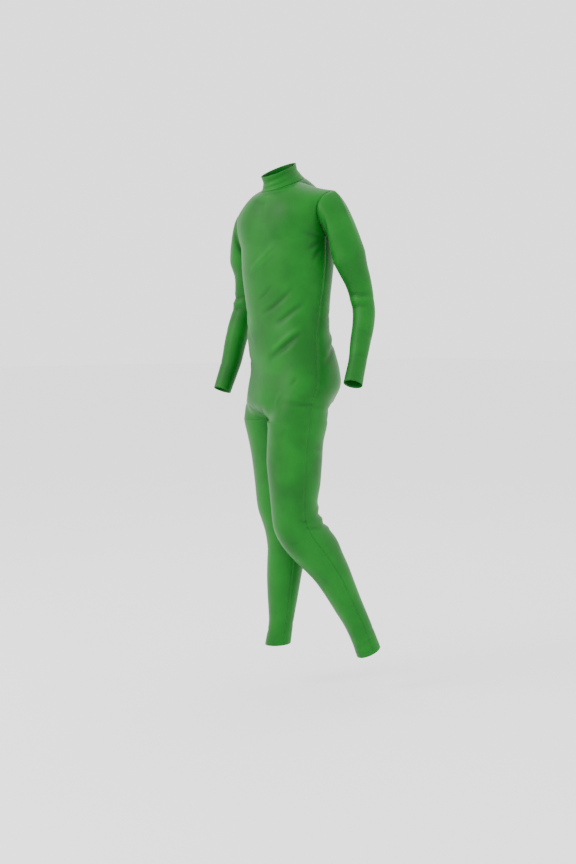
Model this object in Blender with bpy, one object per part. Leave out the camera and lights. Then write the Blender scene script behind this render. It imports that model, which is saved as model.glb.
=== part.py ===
"""A dance unitard as it is worn: high collar, long set-in sleeves, ankle-length legs, zip at the back.

Metres, +Z up. The chest faces -Y, nearly, and the wearer's left is +X. Heights in the tables are
above the floor that the wearer would stand on. ORIGIN_HEIGHT then moves the origin to the shoulders.
Every panel is a grid of points on the cloth's outer face, and a wall of even thickness behind it.
"""
import math

import bmesh
import bpy
import numpy as np
from mathutils import Matrix, Vector

NAME = "dance_unitard"
ORIGIN_HEIGHT = 1.47
WALL = 0.0013
SEAM_GAP = 0.0003

FRONT_COLUMNS = 8
BACK_COLUMNS = 8
NECK_COLUMNS = 4
TORSO_ROW_STEP = 0.024
YOKE_ROWS = 8
SLEEVE_CAP_ROWS = 5
SLEEVE_ROW_STEP = 0.03
COLLAR_ROWS = 4
LEG_ROWS = 19

CROTCH_HEIGHT = 0.817
CROTCH_BACK = -0.0095
CROTCH_MITRE = 1.5
CROTCH_ROWS = 4
CROTCH_RISE = 0.062
THIGH_BLEND = 0.125
UNDERARM_HEIGHT = 1.335
CHEST_TURN = 9.5
PELVIS_TURN = -14.0
SHOULDER_ROLL = 0.10
ROLL_START = 1.02
SECTION_FULLNESS = 0.92
INSEAM_SHARE = 0.08
INSEAM_BLEND = 0.30
EVEN_LIFT = 0.35
SEAM_DIP = 0.004
COLLAR_WAIST = -0.10
UNDERARM_OUT = (0.5, 0, -0.85)
SHARP_ANGLE = 50
FOLD_TAPER = 0.1

# height, half width, depth in front of the axis, depth behind it, axis moved back, turn in degrees
TORSO = (
    (0.817, 0.1755, 0.1000, 0.1040, 0.0000, -14.0),
    (0.849, 0.1740, 0.1110, 0.1140, 0.0020, -14.0),
    (0.876, 0.1720, 0.1200, 0.1200, 0.0080, -14.0),
    (0.911, 0.1700, 0.1210, 0.1300, 0.0150, -14.0),
    (0.961, 0.1640, 0.1070, 0.1300, 0.0130, -12.0),
    (1.023, 0.1520, 0.1040, 0.1180, 0.0060, -7.0),
    (1.068, 0.1450, 0.1010, 0.1050, 0.0000, -3.0),
    (1.112, 0.1430, 0.0980, 0.0980, 0.0000, 0.5),
    (1.171, 0.1440, 0.1000, 0.0960, 0.0000, 4.5),
    (1.215, 0.1460, 0.1060, 0.1000, 0.0000, 7.0),
    (1.260, 0.1470, 0.1120, 0.1070, 0.0000, 9.0),
    (1.335, 0.1490, 0.1150, 0.1130, 0.0000, 9.5),
)
# height, across from the centre plane, back, half width, half depth, tilt of the section in degrees
LEFT_LEG = (
    (0.817, 0.0882, CROTCH_BACK, 0.0873, 0.0880, 0.0),
    (0.804, 0.0910, -0.0112, 0.0845, 0.0865, 0.0),
    (0.765, 0.0888, -0.0155, 0.0835, 0.0820, 0.0),
    (0.698, 0.0875, -0.0185, 0.0810, 0.0805, 0.0),
    (0.632, 0.0865, -0.0175, 0.0760, 0.0745, 0.0),
    (0.583, 0.0855, -0.0184, 0.0700, 0.0685, 0.0),
    (0.548, 0.0845, -0.0137, 0.0660, 0.0695, 4.0),
    (0.515, 0.0840, -0.0044, 0.0640, 0.0735, 10.0),
    (0.479, 0.0840, 0.0182, 0.0620, 0.0745, 19.0),
    (0.436, 0.0840, 0.0542, 0.0600, 0.0700, 27.0),
    (0.396, 0.0850, 0.0830, 0.0575, 0.0600, 30.0),
    (0.366, 0.0860, 0.1032, 0.0560, 0.0545, 30.0),
    (0.334, 0.0870, 0.1209, 0.0530, 0.0500, 29.0),
    (0.270, 0.0890, 0.1542, 0.0470, 0.0430, 28.0),
    (0.214, 0.0910, 0.1840, 0.0410, 0.0385, 27.0),
    (0.168, 0.0920, 0.2049, 0.0375, 0.0375, 26.0),
    (0.122, 0.0930, 0.2230, 0.0375, 0.0385, 25.0),
)
RIGHT_LEG = (
    (0.817, -0.0882, CROTCH_BACK, 0.0873, 0.0880, 0.0),
    (0.804, -0.0910, -0.0078, 0.0845, 0.0870, 0.0),
    (0.775, -0.0888, -0.0040, 0.0838, 0.0843, 0.0),
    (0.721, -0.0875, 0.0042, 0.0830, 0.0810, 0.0),
    (0.631, -0.0855, 0.0097, 0.0770, 0.0750, 0.0),
    (0.541, -0.0830, 0.0131, 0.0690, 0.0685, 0.0),
    (0.474, -0.0810, 0.0290, 0.0620, 0.0635, 0.0),
    (0.423, -0.0800, 0.0313, 0.0580, 0.0585, 0.0),
    (0.384, -0.0800, 0.0282, 0.0570, 0.0565, 0.0),
    (0.339, -0.0800, 0.0231, 0.0545, 0.0525, 0.0),
    (0.267, -0.0810, 0.0181, 0.0480, 0.0450, 0.0),
    (0.234, -0.0820, 0.0164, 0.0440, 0.0410, 0.0),
    (0.195, -0.0830, 0.0139, 0.0390, 0.0375, 0.0),
    (0.162, -0.0840, 0.0093, 0.0370, 0.0385, 1.0),
    (0.130, -0.0850, 0.0043, 0.0375, 0.0400, 3.0),
)
# height, across from the centre plane, back, radius
LEFT_ARM = (
    (1.292, 0.2110, 0.0260, 0.0490),
    (1.255, 0.2150, 0.0420, 0.0425),
    (1.226, 0.2200, 0.0535, 0.0385),
    (1.169, 0.2310, 0.0620, 0.0340),
    (1.132, 0.2380, 0.0615, 0.0325),
    (1.097, 0.2430, 0.0525, 0.0315),
    (1.049, 0.2500, 0.0317, 0.0295),
    (0.992, 0.2590, 0.0078, 0.0262),
    (0.956, 0.2640, -0.0095, 0.0268),
    (0.931, 0.2680, -0.0220, 0.0275),
)
RIGHT_ARM = (
    (1.290, 0.2110, 0.0400, 0.0480),
    (1.251, 0.2170, 0.0550, 0.0420),
    (1.205, 0.2250, 0.0610, 0.0380),
    (1.143, 0.2350, 0.0585, 0.0360),
    (1.082, 0.2410, 0.0380, 0.0345),
    (1.035, 0.2450, 0.0258, 0.0330),
    (0.989, 0.2490, 0.0160, 0.0310),
    (0.959, 0.2520, 0.0060, 0.0295),
    (0.928, 0.2550, -0.0056, 0.0282),
    (0.898, 0.2570, -0.0176, 0.0270),
)

ARMHOLE_LOW = (0.149, 1.335)
ARMHOLE_TOP = (0.170, 1.4625)
ARMHOLE_BACK = 0.0065
ARMHOLE_HALF_DEPTH = 0.052
CAP_TOP_REACH = (0.095, 0.0, -0.020)
CAP_LOW_REACH = (0.090, 0.0, -0.005)
CAP_END_REACH = (0.040, 0.110)

# centre back, centre height, half width, half depth, rise towards the back
NECK_SEAM = (-0.022, 1.5030, 0.0620, 0.0650, 0.36)
COLLAR_TOP = (-0.041, 1.5445, 0.0500, 0.0520, 0.45)

# side (1 left, -1 right), from turn and height, to turn and height, half width, depth
# turn is 0 at the centre front, 0.5 at the side seam and 1 at the centre back
FOLDS = (
    (1, 0.36, 1.062, 0.04, 0.985, 0.018, -0.0055),
    (1, 0.37, 1.095, 0.06, 1.018, 0.016, 0.0040),
    (1, 0.33, 1.155, 0.10, 1.085, 0.018, -0.0045),
    (1, 0.22, 1.210, 0.02, 1.150, 0.018, 0.0035),
    (1, 0.96, 1.075, 0.62, 1.010, 0.018, -0.0045),
    (-1, 0.96, 1.095, 0.62, 1.030, 0.018, -0.0045),
    (1, 0.10, 0.880, 0.42, 0.895, 0.016, -0.0035),
    (-1, 0.10, 0.880, 0.42, 0.895, 0.016, -0.0030),
    (1, 0.58, 0.560, 0.92, 0.550, 0.015, 0.0035),
    (1, 0.58, 0.520, 0.92, 0.505, 0.015, -0.0035),
    (-1, 0.60, 0.480, 0.95, 0.472, 0.015, -0.0030),
)

ZIP_LENGTH = 0.45
ZIP_BELOW_TOP = 0.002
TAPE_WIDTH = 0.018
TAPE_GAP = 0.0012
TAPE_THICKNESS = 0.0008
CHAIN_WIDTH = 0.0050
CHAIN_THICKNESS = 0.0014
SLIDER_BELOW_TOP = 0.0085
# across the zip, along it, and out from the cloth
SLIDER_SIZE = (0.0075, 0.0110, 0.0022)
BRIDGE_SIZE = (0.0018, 0.0048, 0.0032)
BRIDGE_HOLLOW = (0.0060, 0.0028, 0.0022)
TAB_SIZE = (0.0060, 0.0240, 0.0012)
TAB_EYE = (0.0026, 0.0031, 0.0060)
TAB_HEAD = 0.0010
TAB_LEAN = 10.0
METAL_EDGE = 0.0002
JOIN_DEPTH = 0.0004

CLOTH_GREEN = (0.017, 0.205, 0.022, 1.0)
ZIP_GREEN = (0.014, 0.165, 0.020, 1.0)


def smooth_rows(table, heights):
    """Read a table of sections at the given heights, with a smooth curve through its rows."""
    rows = np.array(sorted(table))
    known = rows[:, 0]
    slopes = np.gradient(rows, known, axis=0)
    result = []
    for height in heights:
        i = int(np.clip(np.searchsorted(known, height) - 1, 0, len(known) - 2))
        span = known[i + 1] - known[i]
        t = (height - known[i]) / span
        low = rows[i] * (2 * t**3 - 3 * t**2 + 1) + slopes[i] * span * (t**3 - 2 * t**2 + t)
        high = rows[i + 1] * (3 * t**2 - 2 * t**3) + slopes[i + 1] * span * (t**3 - t**2)
        result.append(low + high)
    return np.array(result)


def turned(point, degrees):
    """Turn a point about the upright axis."""
    angle = math.radians(degrees)
    c, s = math.cos(angle), math.sin(angle)
    x, y, z = point
    return np.array((x * c - y * s, x * s + y * c, z))


def placed(point):
    """Move a point from the chest's own directions and floor heights to the part's frame."""
    x, y, z = point
    return turned((x, y, z + SHOULDER_ROLL * x - ORIGIN_HEIGHT), CHEST_TURN)


def column_turns():
    """The turn of each column round a half section: 0 centre front, 0.5 side, 1 centre back."""
    front = np.linspace(0.0, 0.5, FRONT_COLUMNS + 1)
    back = np.linspace(0.5, 1.0, BACK_COLUMNS + 1)
    return np.concatenate((front, back[1:]))


def torso_point(row, side, turn):
    """A point on half of a torso section."""
    height, width, front, back, moved, _ = row
    angle = math.pi * turn
    depth = front if turn <= 0.5 else back
    x = side * width * abs(math.sin(angle)) ** SECTION_FULLNESS
    y = moved - math.copysign(depth * abs(math.cos(angle)) ** SECTION_FULLNESS, math.cos(angle))
    return np.array((x, y, height))


def leg_point(row, side, turn):
    """A point on a leg section: turn 0 and 1 lie on the inseam."""
    height, across, back, width, depth, tilt = row
    angle = 2 * math.pi * turn
    reach = -depth * math.sin(angle)
    lean = math.radians(tilt)
    x = across - side * width * math.cos(angle)
    return np.array((x, back + reach * math.cos(lean), height + reach * math.sin(lean)))


def torso_rows(side):
    """Rows of points from the crotch to the underarm, for one side."""
    arc = [math.radians(90 * i / CROTCH_ROWS) for i in range(CROTCH_ROWS)]
    low = [CROTCH_HEIGHT + CROTCH_RISE * (1 - math.cos(angle)) for angle in arc]
    first = CROTCH_HEIGHT + CROTCH_RISE
    count = round((UNDERARM_HEIGHT - first) / TORSO_ROW_STEP)
    heights = low + list(np.linspace(first, UNDERARM_HEIGHT, count + 1))
    leg_row = LEFT_LEG[0] if side > 0 else RIGHT_LEG[0]
    rows = []
    for row in smooth_rows(TORSO, heights):
        rise = min(1.0, (row[0] - CROTCH_HEIGHT) / CROTCH_RISE)
        edge_share = 1 - math.sqrt(max(0.0, 1 - (1 - rise) ** 2))
        climb = min(1.0, (row[0] - CROTCH_HEIGHT) / THIGH_BLEND)
        body_share = 1 - climb * climb * (3 - 2 * climb)
        roll = SHOULDER_ROLL * float(np.clip((row[0] - ROLL_START) / (UNDERARM_HEIGHT - ROLL_START), 0, 1))
        points = []
        for turn in column_turns():
            body = torso_point(row, side, turn)
            leg = leg_point((row[0],) + leg_row[1:], side, turn)
            away = float(np.clip((min(turn, 1 - turn) - INSEAM_SHARE) / INSEAM_BLEND, 0, 1))
            edge = 1 - away * away * (3 - 2 * away)
            leg_share = body_share * (1 - edge) + edge_share * edge
            point = body * (1 - leg_share) + leg * leg_share
            point[2] += roll * point[0] - ORIGIN_HEIGHT
            points.append(turned(point, row[5]))
        rows.append(points)
    return np.array(rows)


def leg_rows(side):
    """Rows of points from the crotch down to the ankle, for one side."""
    table = LEFT_LEG if side > 0 else RIGHT_LEG
    top, arch = table[0][0], table[1][0]
    heights = [top] + list(np.linspace(arch, table[-1][0], LEG_ROWS))
    rows = []
    for row in smooth_rows(table, heights):
        points = [leg_point(row, side, turn) for turn in column_turns()]
        rows.append([turned((x, y, z - ORIGIN_HEIGHT), PELVIS_TURN) for x, y, z in points])
    return np.array(rows)


def lift(share):
    """How far up a yoke row lies: quick at the chest, slow where the shoulder turns over."""
    return EVEN_LIFT * share + (1 - EVEN_LIFT) * math.sin(math.pi * share / 2)


def armhole_point(side, share, face):
    """A point on the armhole: share 0 is the underarm and 1 the shoulder tip; face -1 is the front."""
    low_x, low_z = ARMHOLE_LOW
    top_x, top_z = ARMHOLE_TOP
    height = low_z + (top_z - low_z) * lift(share)
    x = low_x + (top_x - low_x) * share - SEAM_DIP * math.sin(math.pi * share)
    y = ARMHOLE_BACK * share + face * ARMHOLE_HALF_DEPTH * math.sin(math.pi * share)
    return np.array((side * x, y, height))


def ring_point(ring, side, turn):
    """A point on the neck seam or the collar's top edge."""
    back, height, width, depth, rise = ring
    angle = math.pi * turn
    y = -depth * math.cos(angle)
    return np.array((side * width * math.sin(angle), back + y, height + rise * y))


def yoke_rows(side, face, lowest):
    """Rows from the underarm up to the neck seam and shoulder seam, centre first."""
    columns = len(lowest) - 1
    centre_turn = 0.0 if face < 0 else 1.0
    neck_side = ring_point(NECK_SEAM, side, 0.5)
    tip = armhole_point(side, 1.0, face)
    top = []
    for i in range(columns + 1):
        if i <= NECK_COLUMNS:
            turn = centre_turn + (0.5 - centre_turn) * i / NECK_COLUMNS
            top.append(ring_point(NECK_SEAM, side, turn))
        else:
            share = (i - NECK_COLUMNS) / (columns - NECK_COLUMNS)
            point = neck_side + (tip - neck_side) * share
            point[2] -= SEAM_DIP * math.sin(math.pi * share)
            top.append(point)
    top = np.array([placed(point) for point in top])
    centre_low, centre_top = lowest[0], top[0]
    rows = []
    for k in range(YOKE_ROWS + 1):
        t = k / YOKE_ROWS
        level = 1 - math.cos(math.pi * t / 2)
        blend = np.array((level, level, lift(t)))
        centre = centre_low + (centre_top - centre_low) * blend
        edge = placed(armhole_point(side, t, face))
        if t in (0, 1):
            edge = top[-1] if t else lowest[-1]
        row = []
        for i in range(columns + 1):
            s = i / columns
            plain = lowest[i] * (1 - blend) + top[i] * blend
            centre_extra = centre - (centre_low * (1 - blend) + centre_top * blend)
            edge_extra = edge - (lowest[-1] * (1 - blend) + top[-1] * blend)
            row.append(plain + centre_extra * (1 - s) + edge_extra * s)
        rows.append(row)
    return np.array(rows)


def arm_rings(side, armhole):
    """Rings of a sleeve from the armhole to the cuff, each with as many points as the armhole."""
    table = LEFT_ARM if side > 0 else RIGHT_ARM
    top, low = table[0][0], table[-1][0]
    heights = np.linspace(top, low, round((top - low) / SLEEVE_ROW_STEP) + 1)
    sections = smooth_rows(table, heights)
    centres = np.array([turned((side * x, y, z - ORIGIN_HEIGHT), CHEST_TURN) for z, x, y, _ in sections])
    along = np.gradient(centres, axis=0)
    along /= np.linalg.norm(along, axis=1)[:, None]
    outward = turned((side, 0, 0), CHEST_TURN)
    count = len(armhole)
    rings = []
    for section, centre, axis in zip(sections, centres, along):
        out = outward - axis * outward.dot(axis)
        out /= np.linalg.norm(out)
        forward = np.cross(axis, out) * side
        ring = []
        for i in range(count):
            angle = 2 * math.pi * i / count
            ring.append(centre + section[3] * (forward * math.sin(angle) - out * math.cos(angle)))
        rings.append(ring)
    rings = np.array(rings)
    cap = []
    top_reach = turned((side * CAP_TOP_REACH[0], 0, CAP_TOP_REACH[2]), CHEST_TURN)
    low_reach = turned((side * CAP_LOW_REACH[0], 0, CAP_LOW_REACH[2]), CHEST_TURN)
    for k in range(SLEEVE_CAP_ROWS):
        t = k / SLEEVE_CAP_ROWS
        start = 2 * t**3 - 3 * t**2 + 1
        leave = t**3 - 2 * t**2 + t
        arrive = t**3 - t**2
        ring = []
        for i in range(count):
            up = (1 - math.cos(2 * math.pi * i / count)) / 2
            reach = low_reach * (1 - up) + top_reach * up
            end = along[0] * (CAP_END_REACH[0] * (1 - up) + CAP_END_REACH[1] * up)
            point = armhole[i] * start + rings[0][i] * (1 - start) + reach * leave + end * arrive
            ring.append(point)
        cap.append(ring)
    return np.concatenate((np.array(cap), rings))


def collar_rows():
    """Rows from the neck seam to the collar's top edge, round from the left to the right back edge."""
    turns = [1 - 0.5 * i / NECK_COLUMNS for i in range(2 * NECK_COLUMNS + 1)]
    route = [(1, turn) for turn in turns] + [(-1, turn) for turn in reversed(turns[:-1])]
    rows = []
    for k in range(COLLAR_ROWS + 1):
        t = k / COLLAR_ROWS
        row = []
        for side, turn in route:
            low = ring_point(NECK_SEAM, side, turn)
            high = ring_point(COLLAR_TOP, side, turn)
            inward = np.array((low[0], low[1] - NECK_SEAM[0], 0)) * COLLAR_WAIST * math.sin(math.pi * t)
            row.append(placed(low + (high - low) * t + inward))
        rows.append(row)
    return np.array(rows)


def folded(points_by_side):
    """Raise and sink the torso and leg rows along the largest folds."""
    for side, turn_a, height_a, turn_b, height_b, width, depth in FOLDS:
        rows = points_by_side[side]
        turns = column_turns()
        level = rows[:, FRONT_COLUMNS, 2] + ORIGIN_HEIGHT
        route = []
        for share in np.linspace(0, 1, 9):
            turn = abs(turn_a + (turn_b - turn_a) * share)
            height = height_a + (height_b - height_a) * share
            line = rows[::-1, int(np.argmin(abs(turns - turn)))]
            route.append([np.interp(height, level[::-1], line[:, axis]) for axis in range(3)])
        route = np.array(route)
        for other in (1, -1):
            grid = points_by_side[other]
            flat = grid.reshape(-1, 3)
            gaps = np.linalg.norm(flat[:, None, :] - route[None, :, :], axis=2)
            nearest = gaps.argmin(axis=1)
            share = nearest / (len(route) - 1)
            taper = np.sin(math.pi * (FOLD_TAPER + (1 - 2 * FOLD_TAPER) * share))
            strength = np.exp(-(gaps.min(axis=1) / width) ** 2) * taper
            outward = grid - grid.mean(axis=1, keepdims=True)
            outward[:, :, 2] = 0
            outward /= np.linalg.norm(outward, axis=2)[:, :, None]
            grid += outward * (strength * depth).reshape(grid.shape[0], grid.shape[1], 1)
    return points_by_side


class Cloth:
    """All panels' outer points, shared at the seams, so that the walls meet squarely."""

    def __init__(self):
        self.index = {}
        self.points = []
        self.panels = {}
        self.set_normals = {}
        self.twins = {}

    def add(self, panel, grid, flip, slit=False):
        """Add a grid of points to a panel as faces that point outwards; a slit parts its two side edges."""
        ids = [[self.point_id(point) for point in row] for row in grid]
        if slit:
            for row in ids:
                self.twins[len(self.points)] = row[-1]
                self.points.append(self.points[row[-1]])
                row[-1] = len(self.points) - 1
        faces = self.panels.setdefault(panel, [])
        for low, high in zip(ids, ids[1:]):
            for i in range(len(low) - 1):
                face = (low[i], low[i + 1], high[i + 1], high[i])
                faces.append(face[::-1] if flip else face)

    def point_id(self, point):
        """The number of a point, the same for points that coincide."""
        key = tuple(round(float(value), 6) for value in point)
        if key not in self.index:
            self.index[key] = len(self.points)
            self.points.append(np.array(point, dtype=float))
        return self.index[key]

    def normals(self):
        """Outward directions at all points, from the faces of every panel that meets there."""
        total = np.zeros((len(self.points), 3))
        for faces in self.panels.values():
            for face in faces:
                a, b, c, d = (self.points[i] for i in face)
                normal = np.cross(c - a, d - b)
                for i in face:
                    total[self.twins.get(i, i)] += normal / np.linalg.norm(normal)
        for i, same in self.twins.items():
            total[i] = total[same]
        total /= np.linalg.norm(total, axis=1)[:, None]
        for i, normal in self.set_normals.items():
            total[i] = normal
        return total


def border_steps(faces, layer):
    """For each point on a panel's border, the direction along the cloth into the panel."""
    edge_faces = {}
    for face in faces:
        for i in range(4):
            pair = (face[i], face[(i + 1) % 4])
            edge_faces.setdefault(tuple(sorted(pair)), []).append(pair)
    border = {key: pairs[0] for key, pairs in edge_faces.items() if len(pairs) == 1}
    inner, outer = {}, {}
    for key in edge_faces:
        for here, there in (key, key[::-1]):
            (outer if key in border else inner).setdefault(here, []).append(there)
    steps = {}
    for i in outer:
        away = [layer[j] - layer[i] for j in inner.get(i, outer[i])]
        step = sum(each / np.linalg.norm(each) for each in away)
        steps[i] = step / np.linalg.norm(step)
    return steps, border


def wall_meshes(cloth):
    """Make each panel's closed wall, its edges drawn back from its neighbours' by half of the seam gap."""
    outer = np.array(cloth.points)
    inner = outer - cloth.normals() * WALL
    place = [cloth.twins.get(i, i) for i in range(len(outer))]
    drawn = {}
    for label, layer in (("outer", outer), ("inner", inner)):
        into = {name: border_steps(faces, layer)[0] for name, faces in cloth.panels.items()}
        meeting = {}
        for steps in into.values():
            for i, step in steps.items():
                meeting.setdefault(place[i], []).append(step)
        for name in cloth.panels:
            moved = layer.copy()
            for i, step in into[name].items():
                others = meeting[place[i]]
                if len(others) > 1:
                    apart = step - sum(others) / len(others)
                    moved[i] += apart / np.linalg.norm(apart) * SEAM_GAP / 2
            drawn[name, label] = moved
    for name, faces in cloth.panels.items():
        used = sorted({i for face in faces for i in face})
        number = {i: n for n, i in enumerate(used)}
        count = len(used)
        points = [drawn[name, label][i] for label in ("outer", "inner") for i in used]
        shell = []
        for a, b, c, d in faces:
            if np.linalg.norm(outer[a] - outer[c]) > np.linalg.norm(outer[b] - outer[d]):
                a, b, c, d = b, c, d, a
            for corner in ((a, b, c), (a, c, d)):
                shell.append(tuple(number[i] for i in corner))
                shell.append(tuple(number[i] + count for i in reversed(corner)))
        for a, b in border_steps(faces, outer)[1].values():
            low, high = number[a], number[b]
            if a < b:
                shell += [(high, low, high + count), (low, low + count, high + count)]
            else:
                shell += [(high, low, low + count), (high, low + count, high + count)]
        mesh = bpy.data.meshes.new(name)
        mesh.from_pydata([tuple(point) for point in points], [], shell)
        mesh.shade_smooth()
        mesh.set_sharp_from_angle(angle=math.radians(SHARP_ANGLE))
        yield mesh


def zip_rows(cloth, line, stops):
    """Centre, left and right points of the centre back, each with its outward direction, at given lengths."""
    points, normals = np.array(cloth.points), cloth.normals()
    steps = np.linalg.norm(np.diff(points[line[:, 0]], axis=0), axis=1)
    lengths = np.concatenate(((0.0,), np.cumsum(steps)))
    rows = []
    for stop in stops:
        k = int(np.clip(np.searchsorted(lengths, stop, side="right") - 1, 0, len(steps) - 1))
        share = (stop - lengths[k]) / steps[k]
        place = points[line[k]] * (1 - share) + points[line[k + 1]] * share
        rows.append((place, normals[line[k]] * (1 - share) + normals[line[k + 1]] * share))
    return rows, lengths


def zip_strip(name, cloth, line, width, low, high):
    """A closed strip down the centre back that follows the cloth's faces, from low to high above them."""
    lengths = zip_rows(cloth, line, (0.0,))[1]
    inside = [length for length in lengths[1:] if length < ZIP_LENGTH - ZIP_BELOW_TOP]
    stops = [ZIP_BELOW_TOP] + inside + [ZIP_LENGTH]
    points, faces = [], []
    for place, out in zip_rows(cloth, line, stops)[0]:
        for level, sides in ((low, (1, 0, 2)), (high, (2, 0, 1))):
            centre = place[0] + out[0] * level
            for side in sides:
                reach = place[side] + out[side] * level - centre
                share = width / 2 / np.linalg.norm(reach) if side else 0.0
                points.append(tuple(centre + reach * share))
    last = 6 * (len(stops) - 1)
    for k in range(0, last, 6):
        for i in range(6):
            a, b = k + i, k + (i + 1) % 6
            faces.append((a, a + 6, b + 6, b))
    faces += [(0, 1, 4, 5), (1, 2, 3, 4), (last, last + 5, last + 4, last + 1)]
    faces.append((last + 1, last + 4, last + 3, last + 2))
    mesh = bpy.data.meshes.new(name)
    mesh.from_pydata(points, [], faces)
    shape = bmesh.new()
    shape.from_mesh(mesh)
    bmesh.ops.recalc_face_normals(shape, faces=shape.faces)
    shape.to_mesh(mesh)
    shape.free()
    return mesh


def block(name, size, centre, edge=0.0):
    """A box with eased edges."""
    shape = bmesh.new()
    bmesh.ops.create_cube(shape, size=1.0)
    bmesh.ops.scale(shape, vec=size, verts=shape.verts)
    if edge:
        bmesh.ops.bevel(shape, geom=shape.edges[:], offset=edge, segments=1, affect="EDGES")
    bmesh.ops.translate(shape, vec=centre, verts=shape.verts)
    mesh = bpy.data.meshes.new(name)
    shape.to_mesh(mesh)
    shape.free()
    return bpy.data.objects.new(name, mesh)


def combined(thing, tool, how):
    """Join a block to another or cut it away."""
    for each in (thing, tool):
        bpy.context.scene.collection.objects.link(each)
    step = thing.modifiers.new("step", "BOOLEAN")
    step.operation = how
    step.object = tool
    step.solver = "EXACT"
    bpy.context.view_layer.update()
    mesh = bpy.data.meshes.new_from_object(thing.evaluated_get(bpy.context.evaluated_depsgraph_get()))
    name = thing.name
    for each in (thing.data, tool.data):
        bpy.data.meshes.remove(each)
    mesh.name = name
    return bpy.data.objects.new(name, mesh)


def slider_frame(cloth, line):
    """Where the slider sits: a matrix whose axes run across the zip, up along it and out from the cloth."""
    half = SLIDER_SIZE[1] / 2
    stops = (SLIDER_BELOW_TOP - half, SLIDER_BELOW_TOP + half)
    upper, lower = zip_rows(cloth, line, stops)[0]
    up = Vector(upper[0][0] - lower[0][0]).normalized()
    out = Vector(upper[1][0] + lower[1][0])
    across = up.cross(out).normalized()
    out = across.cross(up)
    centre = Vector(upper[0][0] + lower[0][0]) / 2
    frame = Matrix((across, up, out)).transposed().to_4x4()
    frame.translation = centre
    return frame


def slider_mesh(frame):
    """The slider with its bridge."""
    base = 2 * SEAM_GAP + CHAIN_THICKNESS
    top = base + SLIDER_SIZE[2]
    body = block("zip_slider", SLIDER_SIZE, (0, 0, (base + top) / 2), METAL_EDGE)
    bridge = block("bridge", (BRIDGE_SIZE[0], BRIDGE_SIZE[1], BRIDGE_SIZE[2] + JOIN_DEPTH),
                   (0, 0, top + (BRIDGE_SIZE[2] - JOIN_DEPTH) / 2))
    hollow = block("hollow", BRIDGE_HOLLOW, (0, 0, top + BRIDGE_HOLLOW[2] / 2))
    whole = combined(body, combined(bridge, hollow, "DIFFERENCE"), "UNION")
    mesh = whole.data
    bpy.data.objects.remove(whole)
    mesh.transform(frame)
    return mesh, top + BRIDGE_HOLLOW[2] / 2


def tab_mesh(frame, hinge):
    """The pull tab, hanging from the bridge by its eye, its free end just off the zip below."""
    plate = block("zip_tab", TAB_SIZE, (0, TAB_HEAD / 2 - TAB_SIZE[1] / 2, 0), METAL_EDGE)
    eye = block("eye", TAB_EYE, (0, -TAB_HEAD / 2 - TAB_EYE[1] / 2, 0))
    whole = combined(plate, eye, "DIFFERENCE")
    mesh = whole.data
    bpy.data.objects.remove(whole)
    lean = Matrix.Rotation(math.radians(-TAB_LEAN), 4, "X")
    mesh.transform(frame @ Matrix.Translation((0, 0, hinge)) @ lean)
    return mesh


def material(name, colour, roughness, metallic=0.0):
    """A plain finish."""
    finish = bpy.data.materials.new(name)
    finish.use_nodes = True
    shader = finish.node_tree.nodes["Principled BSDF"]
    shader.inputs["Base Color"].default_value = colour
    shader.inputs["Roughness"].default_value = roughness
    shader.inputs["Metallic"].default_value = metallic
    return finish


def add_object(mesh, collection, finish):
    """Put a mesh into the scene under its own name."""
    thing = bpy.data.objects.new(mesh.name, mesh)
    thing.data.materials.append(finish)
    collection.objects.link(thing)
    return thing


def make_cloth():
    """All cloth panels as grids of shared points."""
    cloth = Cloth()
    torso = folded({side: np.concatenate((leg_rows(side)[::-1], torso_rows(side)[1:])) for side in (1, -1)})
    n = FRONT_COLUMNS
    crotch = turned((0, CROTCH_BACK, CROTCH_HEIGHT - ORIGIN_HEIGHT), PELVIS_TURN)
    for side in (1, -1):
        torso[side][LEG_ROWS, [0, -1]] = crotch
    cloth.set_normals[cloth.point_id(crotch)] = (0, 0, -CROTCH_MITRE)
    for column in (0, -1):
        centre = (torso[1][LEG_ROWS:, column] + torso[-1][LEG_ROWS:, column]) / 2
        torso[1][LEG_ROWS:, column] = centre
        torso[-1][LEG_ROWS:, column] = centre
    yokes = {}
    for side, word in ((1, "left"), (-1, "right")):
        grid = torso[side]
        flip = side < 0
        cloth.add("front", grid[:, :n + 1], flip)
        cloth.add("back_" + word, grid[:, n:], flip)
        front = yoke_rows(side, -1, grid[-1, :n + 1])
        back = yokes[side] = yoke_rows(side, 1, grid[-1, n:][::-1])
        cloth.add("front", front, flip)
        cloth.add("back_" + word, back, not flip)
        cloth.set_normals[cloth.point_id(front[0, -1])] = turned(UNDERARM_OUT * np.array((side, 1, 1)), CHEST_TURN)
        armhole = list(front[:, -1]) + list(back[:-1, -1][::-1])
        rings = arm_rings(side, np.array(armhole[:-1] if len(armhole) % 2 else armhole))
        closed = np.concatenate((rings, rings[:, :1]), axis=1)
        cloth.add("sleeve_" + word, closed, not flip)
    collar = collar_rows()
    cloth.add("collar", collar, True, slit=True)
    line = [(row[0], row[1], row[-2]) for row in collar[::-1]]
    line += list(zip(yokes[1][::-1, 0], yokes[1][::-1, 1], yokes[-1][::-1, 1]))[1:]
    line += list(zip(torso[1][::-1, -1], torso[1][::-1, -2], torso[-1][::-1, -2]))[1:LEG_ROWS]
    return cloth, np.array([[cloth.point_id(point) for point in row] for row in line])


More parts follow.
